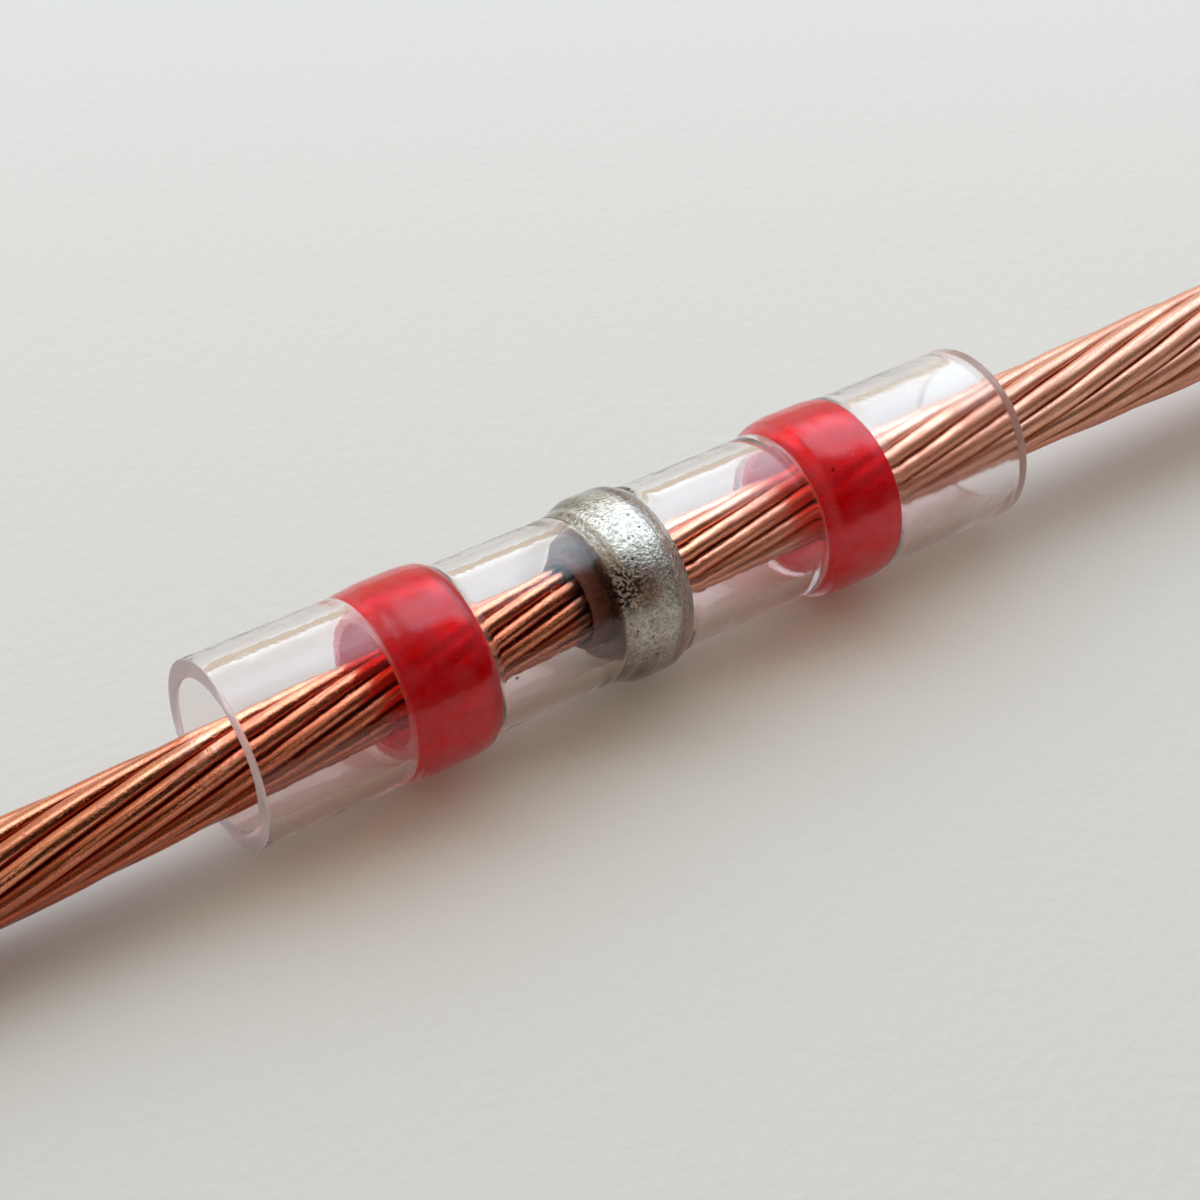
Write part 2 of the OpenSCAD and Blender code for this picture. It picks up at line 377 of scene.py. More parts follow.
def scratch_group():
    """Fine lines, drawn out along the first axis of the place."""
    group, given, out = effect_group(
        "Scratches",
        {
            "Place": ("NodeSocketVector", None),
            "Spacing": ("NodeSocketFloat", 0.3),
            "Stretch": ("NodeSocketFloat", 12.0),
            "Width": ("NodeSocketFloat", 0.015),
        },
        {"Mask": "NodeSocketFloat"})
    split = add_node(group, "ShaderNodeSeparateXYZ", {0: given["Place"]})
    drawn = add_node(group, "ShaderNodeCombineXYZ", {
        0: arithmetic(group, "DIVIDE", split.outputs[0], given["Stretch"]),
        1: split.outputs[1],
        2: split.outputs[2]})
    noise = add_node(group, "ShaderNodeTexNoise", {
        "Vector": drawn.outputs[0],
        "Scale": arithmetic(group, "DIVIDE", 1.0, given["Spacing"]),
        "Detail": 1.0,
        "Distortion": 0.4})
    off_line = arithmetic(group, "ABSOLUTE", arithmetic(group, "SUBTRACT", noise.outputs[0], 0.5))
    line = mapped(group, off_line, 0.0, given["Width"], 1.0, 0.0)
    broken = add_node(group, "ShaderNodeTexNoise", {
        "Vector": given["Place"],
        "Scale": arithmetic(group, "DIVIDE", 0.7, given["Spacing"]),
        "Detail": 0.0})
    group.links.new(product(group, line, mapped(group, broken.outputs[0], 0.5, 0.62)), out["Mask"])
    return group


def grain_group():
    """Fine uneven height, for a surface that isn't polished."""
    group, given, out = effect_group(
        "Grain",
        {
            "Place": ("NodeSocketVector", None),
            "Size": ("NodeSocketFloat", 0.05),
            "Crispness": ("NodeSocketFloat", 0.6),
        },
        {"Height": "NodeSocketFloat"})
    noise = add_node(group, "ShaderNodeTexNoise", {
        "Vector": given["Place"],
        "Scale": arithmetic(group, "DIVIDE", 1.0, given["Size"]),
        "Detail": 3.0,
        "Roughness": given["Crispness"]})
    group.links.new(noise.outputs[0], out["Height"])
    return group


GROUP_MAKERS = {
    "Place in millimetres": place_group,
    "Clouding": cloud_group,
    "Specks": speck_group,
    "Scratches": scratch_group,
    "Grain": grain_group,
}


def effect(tree, name, inputs=None):
    """Place one of the shared effects in a material and return its output."""
    group = bpy.data.node_groups.get(name) or GROUP_MAKERS[name]()
    return add_node(tree, "ShaderNodeGroup", inputs, node_tree=group).outputs[0]


def bump(tree, shader, height, depth):
    """Give a shader a bump of a given depth in millimetres."""
    made = add_node(tree, "ShaderNodeBump", {"Height": height, "Distance": depth * MM})
    tree.links.new(made.outputs[0], shader.inputs["Normal"])


def new_material(name, **plain):
    """A material with one Principled shader, and its sockets that are the same all over."""
    made = bpy.data.materials.new(name)
    made.use_nodes = True
    shader = made.node_tree.nodes["Principled BSDF"]
    for label, value in plain.items():
        shader.inputs[label.replace("_", " ")].default_value = value
    return made, made.node_tree, shader


def let_lamps_through(tree, shader, colour):
    """Let lamp light pass straight through a clear piece, tinted by a colour."""
    path = add_node(tree, "ShaderNodeLightPath").outputs
    straight = larger(tree, path["Is Shadow Ray"], path["Is Diffuse Ray"])
    clear = add_node(tree, "ShaderNodeBsdfTransparent", {"Color": colour})
    mix = add_node(tree, "ShaderNodeMixShader", {0: straight, 1: shader.outputs[0], 2: clear.outputs[0]})
    tree.links.new(mix.outputs[0], tree.nodes["Material Output"].inputs["Surface"])


def spot(tree, place, centre, radius):
    """Soft round patch about a point, both in millimetres."""
    away = add_node(tree, "ShaderNodeVectorMath", {0: place, 1: centre}, operation="DISTANCE")
    return mapped(tree, away.outputs["Value"], 0.4 * radius, radius, 1.0, 0.0)


# Dark marks on the outside of the sleeve: centre and radius in millimetres
MARKS_ON_SLEEVE = (
    ((3.845, -1.014, 3.154), 0.06),
    ((3.865, -0.975, 3.175), 0.035),
    ((-3.22, -1.519, 2.095), 0.05),
    ((-0.50, -0.735, 3.295), 0.04),
    ((-0.40, -0.73, 3.30), 0.045),
    ((-0.31, -0.725, 3.30), 0.04),
)
# Direction across the sleeve, halfway between the front and the top
UP_AND_FRONT = (0.0, -0.788, 0.616)
# Places on the solder and on the left conductor, in millimetres; the first is the centre of a painted
# reflection on the solder
REFLECTION_SPOT = (-0.42, -1.16, 2.50)
DARK_SPOT = (-0.79, -1.08, 2.60)
HANDLED_SPOT = (-8.4, -0.45, 2.2)


def clear_plastic():
    """Shrunk clear tubing: faint pink, finely scratched, frosted where it folds over the sealing rings, and
    with painted shade on its underside.
    """
    sleeve = settings().sleeve
    made, tree, shader = new_material(
        "Clear heat-shrink tubing", Transmission_Weight=1.0, IOR=1.36, Metallic=0.0)
    place = effect(tree, "Place in millimetres")
    scratches = effect(tree, "Scratches", {"Place": place, "Spacing": 0.2, "Stretch": 5.0, "Width": 0.014})
    grain = effect(tree, "Grain", {"Place": place, "Size": 0.35, "Crispness": 0.45})
    marks = 0.0
    for centre, size in MARKS_ON_SLEEVE:
        marks = larger(tree, marks, spot(tree, place, centre, size))
    along, height = axis_of(tree, place, "X"), axis_of(tree, place, "Z")
    mouth, face = FLUX_LOW[0] / MM, SOLDER_LOW[0] / MM
    stain = product(
        tree, mapped(tree, along, mouth - 0.35, mouth + 0.1), mapped(tree, along, face, face + 0.1, 1.0, 0.0))
    # Painted shade: the tubing's colour goes darker and redder towards its bottom.
    tint = colour_mix(tree, mapped(tree, height, 1.3, 0.4), sleeve.tint, sleeve.underside_painted_shade)
    tint = colour_mix(tree, stain, tint, sleeve.stain_tint)
    tree.links.new(colour_mix(tree, marks, tint, sleeve.mark), shader.inputs["Base Color"])

    worn = mapped(tree, along, 1.0, 7.0, 0.05, 0.13)
    rough = larger(tree, worn, product(tree, scratches, 0.3))
    low_down = mapped(tree, height, 1.4, 0.6, 1.0, 2.4)
    for low, high in ((LEFT_SEAL_LOW, LEFT_SEAL_HIGH), (RIGHT_SEAL_LOW, RIGHT_SEAL_HIGH)):
        middle, half = (low[0] + high[0]) / (2 * MM), (high[0] - low[0]) / (2 * MM)
        from_middle = arithmetic(tree, "ABSOLUTE", arithmetic(tree, "SUBTRACT", along, middle))
        from_face = arithmetic(tree, "ABSOLUTE", arithmetic(tree, "SUBTRACT", from_middle, half))
        frost = mapped(tree, from_face, 0.04, 0.2, 0.18, 0.0)
        rough = larger(tree, rough, product(tree, frost, low_down))
    tree.links.new(rough, shader.inputs["Roughness"])
    bump(tree, shader, grain, 0.006)
    let_lamps_through(tree, shader, sleeve.shade_tint)
    return made


def cut_plastic():
    """Face of a cut through the tubing: frosted, a deeper pink than the wall, and darker brown at the upper
    front of the right end.
    """
    sleeve = settings().sleeve
    made, tree, shader = new_material(
        "Cut heat-shrink tubing", Transmission_Weight=0.5, IOR=1.3, Metallic=0.0, Roughness=0.45)
    place = effect(tree, "Place in millimetres")
    clouds = effect(tree, "Clouding", {"Place": place, "Size": 0.35, "Spread": 0.2})
    grain = effect(tree, "Grain", {"Place": place, "Size": 0.06, "Crispness": 0.6})
    face = colour_mix(tree, clouds, sleeve.cut_tint, sleeve.cut_pale)
    # Darker brown towards the upper front of the right end
    right_end = mapped(tree, axis_of(tree, place, "X"), -1, 1, 0.0, 0.8)
    upper_front = mapped(tree, along_direction(tree, place, UP_AND_FRONT), 1.0, 1.8)
    brown_share = product(tree, right_end, upper_front)
    tree.links.new(colour_mix(tree, brown_share, face, sleeve.cut_brown), shader.inputs["Base Color"])
    bump(tree, shader, grain, 0.008)
    let_lamps_through(tree, shader, sleeve.cut_shade)
    return made


def sealing_plastic():
    """Translucent red sealing ring, a little cloudy, with tiny bubbles."""
    rings = settings().rings
    made, tree, shader = new_material(
        "Red sealing ring", Transmission_Weight=0.6, IOR=1.12, Metallic=0.0, Specular_IOR_Level=0.35)
    place = effect(tree, "Place in millimetres")
    clouds = effect(tree, "Clouding", {"Place": place, "Size": 0.45, "Spread": 0.2})
    bubbles = effect(tree, "Specks", {"Place": place, "Spacing": 0.16, "Radius": 0.014, "Share": 0.25})
    grain = effect(tree, "Grain", {"Place": place, "Size": 0.07, "Crispness": 0.6})
    red = colour_mix(tree, clouds, rings.seal_deep, rings.seal_milky)
    tree.links.new(colour_mix(tree, bubbles, red, rings.seal_bubble), shader.inputs["Base Color"])
    tree.links.new(mapped(tree, clouds, 0, 1, 0.42, 0.6), shader.inputs["Roughness"])
    bump(tree, shader, grain, 0.008)
    let_lamps_through(tree, shader, rings.seal_shade)
    return made


def solder_metal():
    """Cast solder: granular, with dark pits, a dark speckled patch and a warm patch of painted reflection."""
    rings = settings().rings
    made, tree, shader = new_material("Cast solder", Metallic=0.8)
    place = effect(tree, "Place in millimetres")
    patches = effect(tree, "Clouding", {"Place": place, "Size": 0.5, "Spread": 0.15})
    pits = effect(tree, "Specks", {"Place": place, "Spacing": 0.1, "Radius": 0.02, "Share": 0.3})
    crumbs = effect(tree, "Clouding", {"Place": place, "Size": 0.07, "Spread": 0.03})
    grain = effect(tree, "Grain", {"Place": place, "Size": 0.07, "Crispness": 0.7})
    dull = arithmetic(
        tree, "ADD", product(tree, patches, 0.35), mapped(tree, grain, 0.56, 0.40, 0.0, 0.6))
    metal = colour_mix(tree, dull, rings.solder, rings.solder_dull)
    # Painted reflection: warm patch on the solder
    warm = product(tree, spot(tree, place, REFLECTION_SPOT, 0.45), 0.75)
    metal = colour_mix(tree, warm, metal, rings.solder_reflection)
    left_face = SOLDER_LOW[0] / MM
    fluxed = mapped(tree, axis_of(tree, place, "X"), left_face + 0.02, left_face + 0.07, 0.9, 0.0)
    metal = colour_mix(tree, fluxed, metal, rings.solder_face)
    dark = larger(tree, product(tree, spot(tree, place, DARK_SPOT, 0.7), crumbs), pits)
    tree.links.new(colour_mix(tree, dark, metal, rings.solder_pit), shader.inputs["Base Color"])
    tree.links.new(mapped(tree, patches, 0, 1, 0.1, 0.2), shader.inputs["Roughness"])
    bump(tree, shader, arithmetic(tree, "SUBTRACT", grain, product(tree, pits, 0.5)), 0.022)
    return made


def flux_resin():
    """Dark dried flux, glossy and uneven."""
    rings = settings().rings
    made, tree, shader = new_material("Dried flux", Metallic=0.0, Specular_IOR_Level=0.15)
    place = effect(tree, "Place in millimetres")
    clouds = effect(tree, "Clouding", {"Place": place, "Size": 0.2, "Spread": 0.2})
    grain = effect(tree, "Grain", {"Place": place, "Size": 0.06, "Crispness": 0.5})
    brown = colour_mix(tree, clouds, rings.flux, rings.flux_pale)
    tree.links.new(brown, shader.inputs["Base Color"])
    tree.links.new(mapped(tree, clouds, 0, 1, 0.25, 0.5), shader.inputs["Roughness"])
    bump(tree, shader, grain, 0.015)
    return made


def copper_metal():
    """Drawn copper: lines along each strand, grooves darkened by oxide and by painted shade, painted shade on
    the underside, a painted sheen towards the right, flux stain and a tone for each strand.
    """
    wires = settings().conductors
    made, tree, shader = new_material(
        "Drawn copper", Metallic=1.0, Coat_Weight=0.8, Coat_IOR=1.6, Coat_Roughness=0.15)
    place = effect(tree, "Place in millimetres")
    groove_shade_and_oxide, tone, stain = (
        add_node(tree, "ShaderNodeAttribute", attribute_name=name).outputs["Fac"]
        for name in ("groove_shade_and_oxide", "tone", "stain"))
    run = add_node(tree, "ShaderNodeAttribute", attribute_name="run").outputs["Vector"]
    lines = effect(tree, "Scratches", {"Place": run, "Spacing": 0.03, "Stretch": 30.0, "Width": 0.12})
    clouds = effect(tree, "Clouding", {"Place": place, "Size": 0.7, "Spread": 0.2})
    nicks = effect(tree, "Specks", {"Place": place, "Spacing": 0.22, "Radius": 0.022, "Share": 0.25})
    lumps = effect(tree, "Clouding", {"Place": place, "Size": 0.13, "Spread": 0.09})
    handled = spot(tree, place, HANDLED_SPOT, 0.75)
    nicks = larger(tree, nicks, product(tree, handled, lumps))
    # Share towards the right, for the painted sheen and a rougher finish
    right = mapped(tree, axis_of(tree, place, "X"), 0, 3)

    tarnish_and_shade = arithmetic(tree, "ADD", product(tree, clouds, 0.25), product(tree, tone, 0.4))
    # Oxide and painted shade in the grooves between the strands
    tarnish_and_shade = arithmetic(tree, "ADD", tarnish_and_shade, product(tree, mapped(tree, groove_shade_and_oxide, 0.12, 0.7), 0.9))
    tarnish_and_shade = arithmetic(tree, "ADD", tarnish_and_shade, product(tree, lines, 0.3))
    # Painted shade: the copper darkens towards its underside
    underside = mapped(tree, axis_of(tree, place, "Z"), 1.9, 1.1, 0.0, 0.4)
    tarnish_and_shade = arithmetic(tree, "ADD", tarnish_and_shade, underside)
    # Nicks: real wear, with partly painted glints in their pale colour
    clean = colour_mix(tree, product(tree, nicks, 0.6), wires.bright, wires.nicked)
    # Painted sheen: paler copper towards the right
    clean = colour_mix(tree, product(tree, right, 0.7), clean, wires.pale)
    copper = colour_mix(tree, mapped(tree, tarnish_and_shade, 0.0, 1.0), clean, wires.tarnished)
    tree.links.new(colour_mix(tree, stain, copper, wires.fluxed), shader.inputs["Base Color"])
    rough = arithmetic(tree, "ADD", mapped(tree, clouds, 0, 1, 0.2, 0.32), product(tree, right, 0.2))
    tree.links.new(rough, shader.inputs["Roughness"])
    height = arithmetic(tree, "SUBTRACT", product(tree, nicks, 0.5), product(tree, lines, 0.3))
    bump(tree, shader, height, 0.008)
    return made


def pale_paper():
    """Matt smooth drawing paper with a very fine tooth."""
    made, tree, shader = new_material("Pale paper", Metallic=0.0, Specular_IOR_Level=0.0, Roughness=1.0)
    place = effect(tree, "Place in millimetres")
    tooth = effect(tree, "Grain", {"Place": place, "Size": 0.3, "Crispness": 0.6})
    shader.inputs["Base Color"].default_value = settings().studio.floor
    bump(tree, shader, tooth, 0.014)
    return made


def material(name, maker):
    return bpy.data.materials.get(name) or maker()


# Meshes

def new_piece(name, points, faces, finish, slot, *nodes, sharp=math.radians(35)):
    """Make a piece from its points and faces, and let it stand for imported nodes."""
    mesh = bpy.data.meshes.new(name)
    mesh.from_pydata(np.asarray(points, float).tolist(), [], [list(map(int, f)) for f in faces])
    mesh.validate()
    mesh.polygons.foreach_set("use_smooth", np.ones(len(mesh.polygons), bool))
    mesh.set_sharp_from_angle(angle=sharp)
    mesh.materials.append(finish)
    made = bpy.data.objects.new(name, mesh)
    bpy.context.scene.collection.objects.link(made)
    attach(made, "root")
    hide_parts(*nodes)
    return made


def grid_faces(rows, columns, closed_rows):
    """Quads over a grid of points whose columns go round, and whose rows may too."""
    faces = []
    for row in range(rows if closed_rows else rows - 1):
        here, there = row * columns, (row + 1) % rows * columns
        for column in range(columns):
            beside = (column + 1) % columns
            faces.append((here + column, here + beside, there + beside, there + column))
    return faces


def wall_wave(x, turn):
    """Slow waves of the shrunk wall, 0 to 1, at a place along the sleeve and an angle round it."""
    along = x / MM
    return 0.5 + (np.sin(2 * turn + 1.1 * along) + np.sin(3 * turn - 1.7 * along + 1)
                  + np.sin(5 * turn + 2.9 * along + 2) + np.sin(turn + 4.3 * along)) / 8


def turned(profile, sides):
    """Revolve a closed profile of (x, radius) points about the sleeve's axis, following the wall's waves."""
    profile = np.asarray(profile, float)
    turn = np.linspace(0, ONE_TURN, sides, endpoint=False)[None, :]
    x = np.repeat(profile[:, :1], sides, 1)
    radius = profile[:, 1:] - settings().sleeve.ripple * wall_wave(x, turn)
    points = np.stack([x, radius * np.cos(turn), AXIS_HEIGHT + radius * np.sin(turn)], -1)
    return points.reshape(-1, 3), grid_faces(len(profile), sides, True)


def quarter_round(x, radius, size, start, steps=6):
    """Points of a quarter circle about (x, radius), from a start angle."""
    angles = start + np.linspace(0, math.pi / 2, steps)
    return [(x + size * math.cos(a), radius + size * math.sin(a)) for a in angles]


def outer_radius(low, high):
    return (high[2] - low[2]) / 2


def crown_height(x, low, high, edge, crown):
    """How high a crowned ring's top stands over its edges, along its width: level in the middle."""
    flat = settings().rings.crown_flat
    middle, half = (low + high) / 2, (high - low) / 2 - edge
    out = np.clip((np.abs(x - middle) / half - flat) / (1 - flat), 0, 1)
    return crown * (1 - out ** 2)


def ring_table():
    """For each ring from left to right: both faces, the top over its edges, edge radius and crown."""
    rings = settings().rings
    for low, high, edge, crown in (
        (LEFT_SEAL_LOW, LEFT_SEAL_HIGH, rings.seal_edge, rings.seal_crown),
        (SOLDER_LOW, SOLDER_HIGH, rings.solder_edge, rings.solder_crown),
        (RIGHT_SEAL_LOW, RIGHT_SEAL_HIGH, rings.seal_edge, rings.seal_crown),
    ):
        yield low[0], high[0], outer_radius(low, high) - crown, edge, crown


def sleeve_radius(x):
    """Outer radius of the sleeve along its length: it folds down over each ring's rounded edges."""
    sleeve = settings().sleeve
    end, neck = sleeve.end_diameter / 2, sleeve.neck_diameter / 2
    radius = np.full_like(x, end)
    level = end
    for (left, right, top, edge, crown), after in zip(ring_table(), (neck, neck, end)):
        fall = sleeve.wall_fall * edge / 2
        top += sleeve.wall - fall
        for start, change in ((left + edge - sleeve.fold_length, top - level), (right - edge, after - top)):
            share = np.clip((x - start) / sleeve.fold_length, 0, 1)
            radius += change * (1 - np.cos(math.pi * share)) / 2
        radius += fall * np.clip(np.minimum(x - left - edge, right - edge - x) / edge, 0, 1)
        radius += crown_height(x, left, right, edge, crown)
        level = after
    return radius


def sleeve_places(left, right):
    """Places along the sleeve at which its wall is drawn, closer together over and beside the rings."""
    fold = settings().sleeve.fold_length
    places = [np.linspace(left, right, 60)]
    for face, other, _, edge, _ in ring_table():
        places += [np.linspace(face - fold, face + edge, 16), np.linspace(other - edge, other + fold, 16),
                   np.linspace(face, other, 12)]
    return np.unique(np.round(np.concatenate(places), 8))


class CONNECTOR_OT_stage(bpy.types.Operator):
    """Set the pale paper floor, the window light, the room and the camera"""

    bl_idname = "connector.stage"
    bl_label = "Stage"

    def execute(self, context):
        studio = settings().studio
        half = studio.floor_half
        corners = [(-half, -half, 0), (half, -half, 0), (half, half, 0), (-half, half, 0)]
        mesh = bpy.data.meshes.new("paper_floor")
        mesh.from_pydata(corners, [], [(0, 1, 2, 3)])
        mesh.materials.append(material("Pale paper", pale_paper))
        floor = bpy.data.objects.new("paper_floor", mesh)
        context.scene.collection.objects.link(floor)

        lamp = bpy.data.lights.new("window", "AREA")
        lamp.shape = "RECTANGLE"
        lamp.size, lamp.size_y = studio.window_width, studio.window_height
        lamp.energy = studio.window_power
        lamp.color = studio.window_colour
        window = bpy.data.objects.new("window", lamp)
        towards = Vector(studio.window_direction).normalized()
        window.location = towards * studio.window_distance
        window.rotation_euler = towards.to_track_quat("Z", "Y").to_euler()
        window.visible_glossy = False
        context.scene.collection.objects.link(window)

        self.light_room(context.scene, studio)
        self.place_camera(context.scene, studio)
        context.scene.view_settings.view_transform = "Standard"
        return {"FINISHED"}

    def light_room(self, scene, studio):
        """A warm grey room, dark on one side; reflections show a soft-edged window in it."""
        room = scene.world or bpy.data.worlds.new("room")
        scene.world = room
        room.use_nodes = True
        tree = room.node_tree
        towards = add_node(tree, "ShaderNodeTexCoord").outputs["Generated"]
        dark_side = mapped(tree, along_direction(tree, towards, studio.dark_direction), 0.4, 0.92)
        walls = colour_mix(tree, dark_side, studio.walls, studio.dark_walls)

        height = axis_of(tree, towards, "Z")
        level = add_node(
            tree, "ShaderNodeVectorMath", {0: towards, 1: (1.0, 1.0, 0.0)}, operation="MULTIPLY").outputs[0]
        level = add_node(tree, "ShaderNodeVectorMath", {0: level}, operation="NORMALIZE").outputs[0]
        above_sill = mapped(tree, height, 0.38, 0.66)
        below_top = mapped(tree, height, 0.93, 1.0, 1.0, 0.3)
        between_sides = mapped(tree, along_direction(tree, level, studio.reflected_direction), 0.66, 0.9)
        pane = product(tree, product(tree, above_sill, below_top), between_sides)
        reflected = add_node(tree, "ShaderNodeLightPath").outputs["Is Glossy Ray"]
        pane = product(tree, arithmetic(tree, "POWER", pane, 1.5), reflected)
        background = tree.nodes["Background"].inputs
        tree.links.new(colour_mix(tree, pane, walls, studio.reflected_window), background["Color"])
        background["Strength"].default_value = 1.0

    def place_camera(self, scene, studio):
        azimuth, elevation = studio.camera_azimuth, studio.camera_elevation
        back = Vector((
            math.sin(azimuth) * math.cos(elevation),
            -math.cos(azimuth) * math.cos(elevation),
            math.sin(elevation)))
        data = bpy.data.cameras.new("camera")
        data.sensor_width = 36
        data.lens = studio.lens
        data.clip_start, data.clip_end = 0.001, 10
        camera = bpy.data.objects.new("camera", data)
        camera.location = Vector(studio.look_at) + back * studio.camera_distance
        camera.rotation_euler = (-back).to_track_quat("-Z", "Y").to_euler()
        scene.collection.objects.link(camera)
        scene.camera = camera


class CONNECTOR_OT_sleeve(bpy.types.Operator):
    """Form the clear heat-shrink sleeve over its rings"""

    bl_idname = "connector.sleeve"
    bl_label = "Heat-shrink sleeve"

    def execute(self, context):
        sleeve = settings().sleeve
        soft = sleeve.rim_round
        left, right = SLEEVE_LOW[0], SLEEVE_HIGH[0]
        along = sleeve_places(left + soft, right - soft)
        outside = sleeve_radius(along)
        end_out, end_in = sleeve.end_diameter / 2, sleeve.end_diameter / 2 - sleeve.wall
        profile = list(zip(along, outside))
        profile += quarter_round(right - soft, end_out - soft, soft, 0)[::-1][1:]
        profile += quarter_round(right - soft, end_in + soft, soft, -math.pi / 2)[::-1]
        right_cut = range(len(along) - 1, len(profile) - 1)
        profile += list(zip(along[::-1], outside[::-1] - sleeve.wall))[1:]
        before_left = len(profile) - 1
        profile += quarter_round(left + soft, end_in + soft, soft, math.pi)[::-1][1:]
        profile += quarter_round(left + soft, end_out - soft, soft, math.pi / 2)[::-1][:-1]
        left_cut = range(before_left, len(profile))

        points, faces = turned(profile, SLEEVE_SIDES)
        points = self.with_wavy_cuts(points, left, right)
        piece = new_piece("clear_sleeve", points, faces, material("Clear heat-shrink tubing", clear_plastic),
                          "sleeve", "heat_shrink_sleeve", sharp=math.radians(60))
        piece.data.materials.append(material("Cut heat-shrink tubing", cut_plastic))
        cut = np.zeros((len(profile), SLEEVE_SIDES), np.int32)
        cut[[*right_cut, *left_cut]] = 1
        piece.data.polygons.foreach_set("material_index", cut.ravel())
        return {"FINISHED"}

    def with_wavy_cuts(self, points, left, right):
        """Let the two cut ends wander a little, inwards from the sleeve's full length."""
        depth, reach = settings().sleeve.cut_wave, 1.0 * MM
        turn = np.arctan2(points[:, 2] - AXIS_HEIGHT, points[:, 1])
        wave = 0.5 + (np.sin(turn + 0.6) + 0.6 * np.sin(2 * turn + 2) + 0.3 * np.sin(5 * turn)) / 3.8
        near_left = np.clip(1 - (points[:, 0] - left) / reach, 0, 1)
        near_right = np.clip(1 - (right - points[:, 0]) / reach, 0, 1)
        points[:, 0] += depth * wave * (near_left - near_right)
        return points


class CONNECTOR_OT_sealing_rings(bpy.types.Operator):
    """Make the two red sealing rings, bedded into the sleeve's wall"""

    bl_idname = "connector.sealing_rings"
    bl_label = "Sealing rings"

    def execute(self, context):
        rings = settings().rings
        red = material("Red sealing ring", sealing_plastic)
        for side, low, high in (
            ("left", LEFT_SEAL_LOW, LEFT_SEAL_HIGH), ("right", RIGHT_SEAL_LOW, RIGHT_SEAL_HIGH)
        ):
            profile = ring_profile(
                low[0], high[0], lambda x: sleeve_radius(x) - settings().sleeve.wall + rings.bedding,
                outer_radius(low, high) - rings.seal_wall, rings.wetted_edge)
            points, faces = turned(profile, SEAL_SIDES)
            new_piece(f"{side}_seal", points, faces, red, "sealing_ring", f"{side}_sealing_ring")
        return {"FINISHED"}


def ring_profile(x0, x1, top, bore, edge):
    """Closed profile of a ring with rounded outer edges and slightly broken bore edges.

    The radius of its top is a function of the place along it.
    """
    small = edge / 4
    across = np.linspace(x1 - edge, x0 + edge, 24)
    over = top(across)
    profile = quarter_round(x1 - edge, over[0] - edge, edge, 0)
    profile += list(zip(across, over))[1:-1]
    profile += quarter_round(x0 + edge, over[-1] - edge, edge, math.pi / 2)
    profile += quarter_round(x0 + small, bore + small, small, math.pi, 4)
    profile += [(x, bore) for x in across[::-1]]
    profile += quarter_round(x1 - small, bore + small, small, -math.pi / 2, 4)
    return profile


class CONNECTOR_OT_solder_ring(bpy.types.Operator):
    """Make the solder ring and the flux film that lines it"""

    bl_idname = "connector.solder_ring"
    bl_label = "Solder ring and flux"

    def execute(self, context):
        rings = settings().rings
        flux_radius = outer_radius(FLUX_LOW, FLUX_HIGH)
        edge, crown = rings.solder_edge, rings.solder_crown
        shoulder = outer_radius(SOLDER_LOW, SOLDER_HIGH) - crown + rings.bedding
        left, right = SOLDER_LOW[0], SOLDER_HIGH[0]
        profile = ring_profile(
            left, right, lambda x: shoulder + crown_height(x, left, right, edge, crown), flux_radius, edge)
        points, faces = turned(profile, SOLDER_SIDES)
        metal = material("Cast solder", solder_metal)
        new_piece("solder_band", points, faces, metal, "solder", "solder_ring")

        profile = ring_profile(
            FLUX_LOW[0], FLUX_HIGH[0], lambda x: np.full_like(x, flux_radius),
            flux_radius - rings.flux_film, rings.flux_film / 3)
        points, faces = turned(profile, FLUX_SIDES)
        new_piece("flux_film", points, faces, material("Dried flux", flux_resin), "flux", "flux_lining")
        return {"FINISHED"}


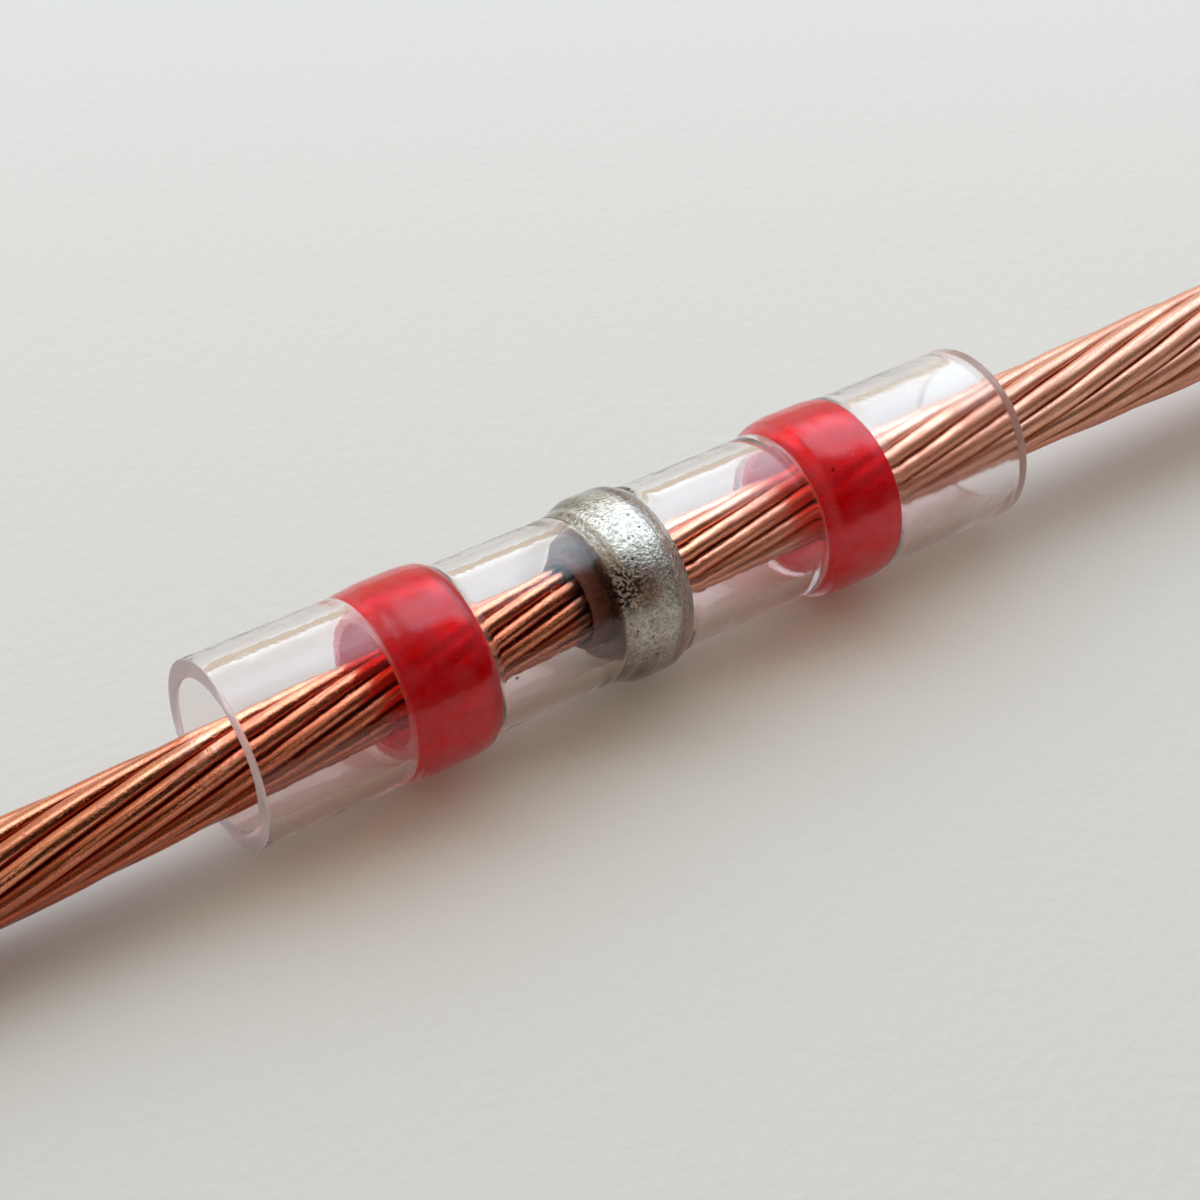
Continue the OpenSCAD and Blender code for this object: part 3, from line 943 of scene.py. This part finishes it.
class CONNECTOR_OT_conductors(bpy.types.Operator):
    """Lay up both copper conductors from their single strands"""

    bl_idname = "connector.conductors"
    bl_label = "Copper conductors"

    def execute(self, context):
        wires = settings().conductors
        pitch = wires.strand_diameter + wires.strand_gap
        seed = FIRST_SEED
        for side in ("left", "right"):
            self.lay_strand(side, f"{side}_wire_core", f"{side}_core_strand", 0.0, 0.0, CORE_SIDES, seed)
            for layer, count, radius, sides in (
                ("inner", INNER_COUNT, pitch, INNER_SIDES), ("outer", OUTER_COUNT, 2 * pitch, OUTER_SIDES),
            ):
                for number in range(1, count + 1):
                    seed += 1
                    phase = ONE_TURN * number / count
                    self.lay_strand(
                        side, f"{side}_wire_{layer}_{number}", f"{side}_{layer}_strand_{number}",
                        radius, phase, sides, seed)
        return {"FINISHED"}

    def lay_strand(self, side, name, node, lay_radius, phase, sides, seed):
        """Sweep one strand along its helix, with a little wander, and store what its finish needs."""
        wires = settings().conductors
        chance = np.random.default_rng(seed)
        low, high = CORE_BOXES[side]
        steps = LAID_STEPS if lay_radius else CORE_STEPS
        x = np.linspace(low[0], high[0], steps + 1)[:, None]
        if side == "left":
            past, free = LEFT_MOUTH - x, LEFT_MOUTH - low[0]
            lay, droop, loose = wires.left_lay, wires.left_droop, wires.left_loose
        else:
            past, free = x - RIGHT_MOUTH, high[0] - RIGHT_MOUTH
            lay, droop, loose = wires.right_lay, wires.right_droop, wires.right_loose
        centre_z = AXIS_HEIGHT - wires.rest_drop - past * math.tan(droop)

        radius = wires.strand_diameter / 2
        outermost = 2 * (wires.strand_diameter + wires.strand_gap)
        opened = loose / (2 * outermost) * (1 - np.cos(math.pi * np.clip(past / free, 0, 1))) / 2
        drift = sum(
            np.sin(ONE_TURN * x / (length * MM) + chance.uniform(0, RANDOM_TURN)) / 3
            for length in (2.3, 4.1, 7.7))
        swell = sum(
            np.sin(ONE_TURN * x / (length * MM) + chance.uniform(0, RANDOM_TURN)) / 2
            for length in (1.9, 5.3))
        outer = lay_radius > outermost * 0.9
        stray = wires.wander * (1 + 2 * opened) if outer else 0.0 * x
        reach = lay_radius * (1 + opened) + stray * 0.5 * (swell - 1)
        turn = phase - ONE_TURN * x / lay + (stray * drift / lay_radius if lay_radius else 0.0)
        slant = 1 / np.cos(np.arctan(ONE_TURN * reach / lay))

        around = np.linspace(0, ONE_TURN, sides, endpoint=False)[None, :]
        outward = radius * np.cos(around)
        sideways = radius * slant * (1 + 1.2 * opened) * np.sin(around)
        y = (reach + outward) * np.cos(turn) - sideways * np.sin(turn)
        up = (reach + outward) * np.sin(turn) + sideways * np.cos(turn)
        points = np.stack([np.repeat(x, sides, 1), y, centre_z + up], -1).reshape(-1, 3)

        faces = grid_faces(steps + 1, sides, False)
        faces.append(tuple(range(sides))[::-1])
        faces.append(tuple(steps * sides + j for j in range(sides)))
        piece = new_piece(name, points, faces, material("Drawn copper", copper_metal), "copper", node)

        if outer:
            # How deep each point lies between the strands, for oxide and painted shade in the grooves
            under_top = reach + radius - np.hypot(y, up)
            depth = np.clip(under_top / wires.strand_diameter * 2, 0, 1)
        else:
            depth = np.full(y.shape, 0.8)
        reached = wires.flux_creep * chance.uniform(0.6, 1.4) if side == "left" else 0.0
        stain = np.clip((reached - past) / (0.12 * MM) + 0.5, 0, 1)
        run = np.stack([
            np.repeat(x, sides, 1) / MM,
            np.repeat(around, steps + 1, 0) * radius / MM,
            np.full(y.shape, seed)], -1)
        # The right conductor gets less groove oxide and painted shade, and less tone
        groove_share, tone_share = (1.0, 1.0) if side == "left" else (0.45, 0.25)
        tone = np.full(y.shape, chance.uniform(0, 1) * tone_share)
        store(piece.data, "groove_shade_and_oxide", "FLOAT", "value", depth * groove_share)
        store(piece.data, "tone", "FLOAT", "value", tone)
        store(piece.data, "stain", "FLOAT", "value", np.repeat(stain, sides, 1))
        store(piece.data, "run", "FLOAT_VECTOR", "vector", run)


def store(mesh, name, kind, field, values):
    """Write one value a point into a mesh."""
    made = mesh.attributes.new(name, kind, "POINT")
    made.data.foreach_set(field, np.asarray(values, np.float32).ravel())


class CONNECTOR_PT_panel(bpy.types.Panel):
    bl_label = "Solder sleeve"
    bl_idname = "CONNECTOR_PT_panel"
    bl_space_type = "VIEW_3D"
    bl_region_type = "UI"
    bl_category = "Sleeve"

    def draw(self, context):
        for label, group in (
            ("Sleeve", settings().sleeve), ("Rings", settings().rings),
            ("Conductors", settings().conductors), ("Studio", settings().studio),
        ):
            box = self.layout.box()
            box.label(text=label)
            for name in group.bl_rna.properties.keys():
                if name not in ("rna_type", "name"):
                    box.prop(group, name)
        for operator in OPERATORS:
            self.layout.operator(operator.bl_idname)


OPERATORS = (
    CONNECTOR_OT_stage,
    CONNECTOR_OT_sleeve,
    CONNECTOR_OT_sealing_rings,
    CONNECTOR_OT_solder_ring,
    CONNECTOR_OT_conductors,
)
CLASSES = (
    SleeveSettings, RingSettings, ConductorSettings, StudioSettings, ConnectorSettings,
    *OPERATORS, CONNECTOR_PT_panel,
)


def register():
    for cls in CLASSES:
        bpy.utils.register_class(cls)
    bpy.types.Scene.solder_sleeve = bpy.props.PointerProperty(type=ConnectorSettings)


def unregister():
    del bpy.types.Scene.solder_sleeve
    for cls in reversed(CLASSES):
        bpy.utils.unregister_class(cls)


def main():
    register()
    bpy.ops.connector.stage()
    bpy.ops.connector.sleeve()
    bpy.ops.connector.sealing_rings()
    bpy.ops.connector.solder_ring()
    bpy.ops.connector.conductors()


if __name__ == "__main__":
    main()
